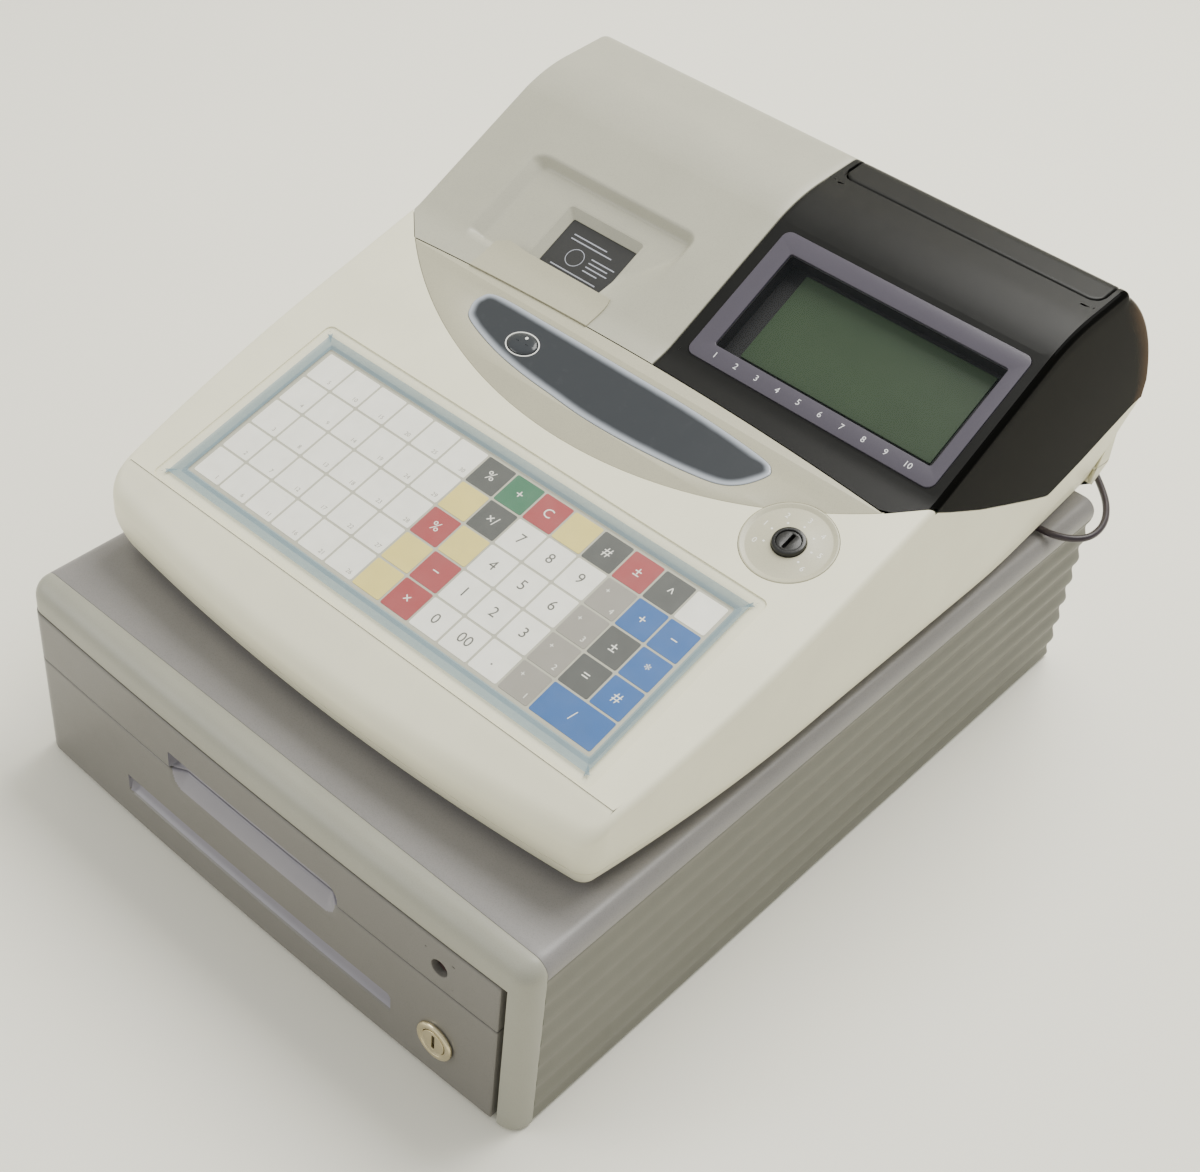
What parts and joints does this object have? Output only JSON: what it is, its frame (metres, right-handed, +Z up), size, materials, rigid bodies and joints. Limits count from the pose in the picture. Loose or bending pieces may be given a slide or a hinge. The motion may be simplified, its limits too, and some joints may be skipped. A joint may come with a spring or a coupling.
{
  "type": "ticket register with cash drawer",
  "caption": "Electronic ticket register with keyboard, operator display, printer and pop-up customer display, standing on a locking cash drawer.",
  "frame": {"origin": "centre of the cash drawer cabinet's footprint at desk level", "axes": "+X to the operator's right, +Y to the rear, +Z up"},
  "size_m": [0.3456, 0.4754, 0.269],
  "materials": {
    "ivory": "satin",
    "upper_ivory": "satin",
    "black_gloss": "gloss",
    "black": "satin",
    "smoked": "gloss",
    "bezel_grey": "satin",
    "clear": "clear",
    "lcd": "dark green",
    "graphite": "satin",
    "keys": "printed",
    "cabinet_grey": "satin",
    "bar_grey": "satin",
    "front_grey": "satin",
    "rib_grey": "satin",
    "steel": "zinc plated",
    "nickel": "pale gold nickel",
    "rubber": "matte",
    "tray_grey": "matte",
    "white": "matte",
    "paper": "thermal paper",
    "board": "solder mask",
    "cable": "smooth jacket"
  },
  "bodies": {
    "cabinet": {"base_pan": "steel", "cable_reliefs": "black", "display_bezel": "bezel_grey", "display_housing": "black", "display_side_cover": "black_gloss", "display_window": "clear", "front_bezel": "bar_grey", "key_sheet": "keys", "keyboard_backplate": "steel", "kick_spring": "steel", "label_lens": "graphite", "lcd_module": "lcd", "lower_case": "ivory", "main_board": "board", "mains_inlet": "black", "paper_motor": "steel", "power_supply": "steel", "printer_frame": "black", "printer_panel": "black", "release_cable": "cable", "roll_cradle": "black", "rubber_feet": "rubber", "runners": "steel", "side_panels": "rib_grey", "solenoid": "steel", "switch_barrel": "nickel", "switch_dial": "ivory", "thermal_head": "steel", "top_cover": "cabinet_grey", "trim_plate": "upper_ivory", "upper_case": "ivory", "wet_cover": "clear"},
    "drawer": {"drawer_tub": "cabinet_grey", "drawer_front": "front_grey", "front_strip": "front_grey", "lock_barrel": "nickel", "tray_shelf": "steel", "coin_tray": "tray_grey", "note_tray": "tray_grey", "clip_rod": "steel"},
    "lock": {"lock_plug": "nickel"},
    "clip_one": {"note_clip_1": "tray_grey"},
    "clip_two": {"note_clip_2": "tray_grey"},
    "clip_three": {"note_clip_3": "tray_grey"},
    "clip_four": {"note_clip_4": "tray_grey"},
    "front_left_roller": {"roller_front_left": "white"},
    "front_right_roller": {"roller_front_right": "white"},
    "rear_left_roller": {"roller_rear_left": "white"},
    "rear_right_roller": {"roller_rear_right": "white"},
    "latch": {"latch_lever": "steel"},
    "plunger_body": {"plunger": "steel"},
    "cover": {"printer_cover": "upper_ivory", "tear_flap": "upper_ivory"},
    "platen": {"platen_roller": "rubber"},
    "pinion": {"motor_pinion": "white"},
    "roll": {"paper_roll": "paper"},
    "customer_display": {"customer_head": "black_gloss", "customer_window": "smoked"},
    "button": {"ticket_button": "graphite"},
    "rotor": {"switch_rotor": "nickel"}
  },
  "joints": [
    {"name": "drawer_slide", "type": "slide", "parent": "cabinet", "child": "drawer", "axis": [0, -1, 0], "range_m": [0, 0.25]},
    {"name": "lock_turn", "type": "hinge", "parent": "drawer", "child": "lock", "pos_m": [0.117, -0.2216, 0.028], "axis": [0, 1, 0], "range_deg": [0, 90]},
    {"name": "note_clip_one", "type": "hinge", "parent": "drawer", "child": "clip_one", "pos_m": [-0.10732, 0.1003, 0.056], "axis": [-1, 0, 0], "range_deg": [0, 70]},
    {"name": "note_clip_two", "type": "hinge", "parent": "drawer", "child": "clip_two", "pos_m": [-0.03577, 0.1003, 0.056], "axis": [-1, 0, 0], "range_deg": [0, 70]},
    {"name": "note_clip_three", "type": "hinge", "parent": "drawer", "child": "clip_three", "pos_m": [0.03578, 0.1003, 0.056], "axis": [-1, 0, 0], "range_deg": [0, 70]},
    {"name": "note_clip_four", "type": "hinge", "parent": "drawer", "child": "clip_four", "pos_m": [0.10732, 0.1003, 0.056], "axis": [-1, 0, 0], "range_deg": [0, 70]},
    {"name": "front_left_spin", "type": "hinge", "parent": "cabinet", "child": "front_left_roller", "pos_m": [-0.1495, -0.194, 0.0523], "axis": [1, 0, 0], "continuous": true},
    {"name": "front_right_spin", "type": "hinge", "parent": "cabinet", "child": "front_right_roller", "pos_m": [0.1495, -0.194, 0.0523], "axis": [1, 0, 0], "continuous": true},
    {"name": "rear_left_spin", "type": "hinge", "parent": "drawer", "child": "rear_left_roller", "pos_m": [-0.1495, 0.138, 0.0523], "axis": [1, 0, 0], "continuous": true},
    {"name": "rear_right_spin", "type": "hinge", "parent": "drawer", "child": "rear_right_roller", "pos_m": [0.1495, 0.138, 0.0523], "axis": [1, 0, 0], "continuous": true},
    {"name": "latch_turn", "type": "hinge", "parent": "cabinet", "child": "latch", "pos_m": [0, 0.195, 0.047], "axis": [1, 0, 0], "range_deg": [0, 7]},
    {"name": "plunger_slide", "type": "slide", "parent": "cabinet", "child": "plunger_body", "axis": [0, 0, 1], "range_m": [0, 0.002]},
    {"name": "cover_hinge", "type": "hinge", "parent": "cabinet", "child": "cover", "pos_m": [-0.08, 0.2346, 0.184], "axis": [-1, 0, 0], "range_deg": [0, 65]},
    {"name": "platen_spin", "type": "hinge", "parent": "cabinet", "child": "platen", "pos_m": [-0.075, 0.062, 0.203], "axis": [1, 0, 0], "continuous": true},
    {"name": "pinion_spin", "type": "hinge", "parent": "cabinet", "child": "pinion", "pos_m": [-0.036, 0.0717, 0.203], "axis": [1, 0, 0], "continuous": true},
    {"name": "paper_spin", "type": "hinge", "parent": "cabinet", "child": "roll", "pos_m": [-0.075, 0.13, 0.184], "axis": [1, 0, 0], "continuous": true},
    {"name": "customer_lift", "type": "slide", "parent": "cabinet", "child": "customer_display", "axis": [0, 0, 1], "range_m": [0, 0.04]},
    {"name": "button_press", "type": "slide", "parent": "cabinet", "child": "button", "axis": [0, 0.2696, -0.963], "range_m": [0, 0.0012], "stiffness_N_per_m": 400, "springref_m": -0.0005},
    {"name": "mode_turn", "type": "hinge", "parent": "cabinet", "child": "rotor", "pos_m": [0.1246, -0.02, 0.20278], "axis": [0, -0.2696, 0.963], "range_deg": [-120, 120]}
  ],
  "couplings": [
    {"joint": "pinion_spin", "follows": "platen_spin", "ratio": -1.6667},
    {"joint": "plunger_slide", "follows": "latch_turn", "m_per_rad": 0.013}
  ]
}
